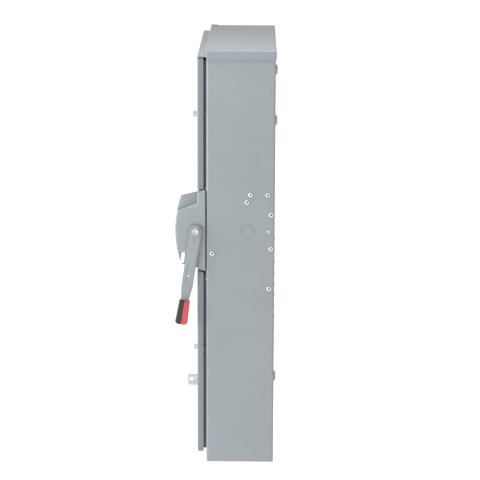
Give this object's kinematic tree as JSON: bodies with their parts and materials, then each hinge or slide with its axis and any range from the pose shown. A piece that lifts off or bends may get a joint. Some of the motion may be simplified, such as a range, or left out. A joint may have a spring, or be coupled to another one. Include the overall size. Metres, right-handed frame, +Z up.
{
  "type": "fusible disconnect switch",
  "caption": "Wall-mounted rainproof steel disconnect box with a hinged door, side operating handle, knife blades, fuses and wire lugs.",
  "frame": {"origin": "centre of the wall bolt pattern, on the wall plane", "axes": "+Z up, -Y out of the wall towards the door, +X to the right seen from the front"},
  "size_m": [0.7315, 0.307, 1.28],
  "materials": {
    "enclosure_enamel": "semi-gloss grey powder enamel on folded sheet steel",
    "galvanised_steel": "galvanised sheet",
    "zinc_plate": "bright zinc plated",
    "rivet_aluminium": "plain drawn aluminium",
    "oiled_steel": "turned steel",
    "grip_black": "moulded, fine texture",
    "grip_red": "moulded, fine texture",
    "bushing_bronze": "sintered bronze",
    "moulded_base": "compression moulded glass-polyester",
    "tinned_copper": "bare copper",
    "lug_aluminium": "tin plated aluminium",
    "arc_fibre": "vulcanised fibre with steel plates",
    "fuse_tube": "melamine glass tube",
    "gasket_foam": "closed-cell neoprene",
    "crossbar_phenolic": "moulded phenolic",
    "shield_clear": "clear polycarbonate"
  },
  "bodies": {
    "cabinet": {"enclosure_wrap": "enclosure_enamel", "rain_cap": "enclosure_enamel", "front_header": "enclosure_enamel", "bottom_endwall": "enclosure_enamel", "rain_lip": "enclosure_enamel", "handle_mount_frame": "enclosure_enamel", "handle_housing": "enclosure_enamel", "padlock_fin": "enclosure_enamel", "hinge_box_leaves": "enclosure_enamel", "side_wall_rivets": "rivet_aluminium", "rail_rivets": "rivet_aluminium", "mounting_rails": "galvanised_steel", "mechanism_plate": "galvanised_steel", "hinge_pins": "zinc_plate", "hasp_tab": "zinc_plate", "latch_keepers": "zinc_plate", "frame_screw": "zinc_plate", "blade_pivot_bolts": "zinc_plate", "stub_shaft": "oiled_steel", "lug_screws": "oiled_steel", "handle_bushing": "bushing_bronze", "line_base": "moulded_base", "load_transfer_base": "moulded_base", "load_base": "moulded_base", "line_jaw_1": "tinned_copper", "line_jaw_2": "tinned_copper", "line_jaw_3": "tinned_copper", "hinge_jaw_1": "tinned_copper", "hinge_jaw_2": "tinned_copper", "hinge_jaw_3": "tinned_copper", "load_clip_1": "tinned_copper", "load_clip_2": "tinned_copper", "load_clip_3": "tinned_copper", "ground_lug": "lug_aluminium", "line_lug_1": "lug_aluminium", "line_lug_2": "lug_aluminium", "line_lug_3": "lug_aluminium", "load_lug_1": "lug_aluminium", "load_lug_2": "lug_aluminium", "load_lug_3": "lug_aluminium", "arc_chutes": "arc_fibre", "fuse_1": "fuse_tube", "fuse_2": "fuse_tube", "fuse_3": "fuse_tube", "line_shield": "shield_clear"},
    "door": {"door_pan": "enclosure_enamel", "door_gasket": "gasket_foam", "hinge_door_leaves": "enclosure_enamel"},
    "upper_latch": {"upper_latch": "zinc_plate"},
    "lower_latch": {"lower_latch": "zinc_plate"},
    "handle": {"handle_arm": "enclosure_enamel", "handle_shaft": "oiled_steel", "pivot_bolt": "zinc_plate", "arm_rivet": "zinc_plate", "grip_front_half": "grip_black", "grip_rear_half": "grip_red"},
    "blade_assembly": {"contact_blades": "tinned_copper", "crossbar": "crossbar_phenolic", "drive_lever": "oiled_steel"},
    "toggle_link": {"toggle_link": "galvanised_steel"}
  },
  "joints": [
    {"name": "door_hinge", "type": "hinge", "parent": "cabinet", "child": "door", "pos_m": [-0.355, -0.21725, 0.008], "axis": [0, 0, -1], "range_deg": [0, 115]},
    {"name": "upper_latch_turn", "type": "hinge", "parent": "door", "child": "upper_latch", "pos_m": [0.3, -0.23, 0.346], "axis": [0, 1, 0], "range_deg": [-90, 0]},
    {"name": "lower_latch_turn", "type": "hinge", "parent": "door", "child": "lower_latch", "pos_m": [0.3, -0.23, -0.3795], "axis": [0, 1, 0], "range_deg": [-90, 0]},
    {"name": "handle_throw", "type": "hinge", "parent": "cabinet", "child": "handle", "pos_m": [0.34, -0.244, -0.003], "axis": [-1, 0, 0], "range_deg": [0, 162]},
    {"name": "blade_turn", "type": "hinge", "parent": "cabinet", "child": "blade_assembly", "pos_m": [0, -0.09, -0.003], "axis": [-1, 0, 0], "range_deg": [0, 54]},
    {"name": "toggle_pivot", "type": "hinge", "parent": "handle", "child": "toggle_link", "pos_m": [0.312, -0.24713, -0.02275], "axis": [-1, 0, 0], "range_deg": [-162, 0]}
  ],
  "couplings": [
    {"joint": "blade_turn", "follows": "handle_throw", "ratio": 0.33333},
    {"joint": "toggle_pivot", "follows": "handle_throw", "ratio": -1}
  ]
}
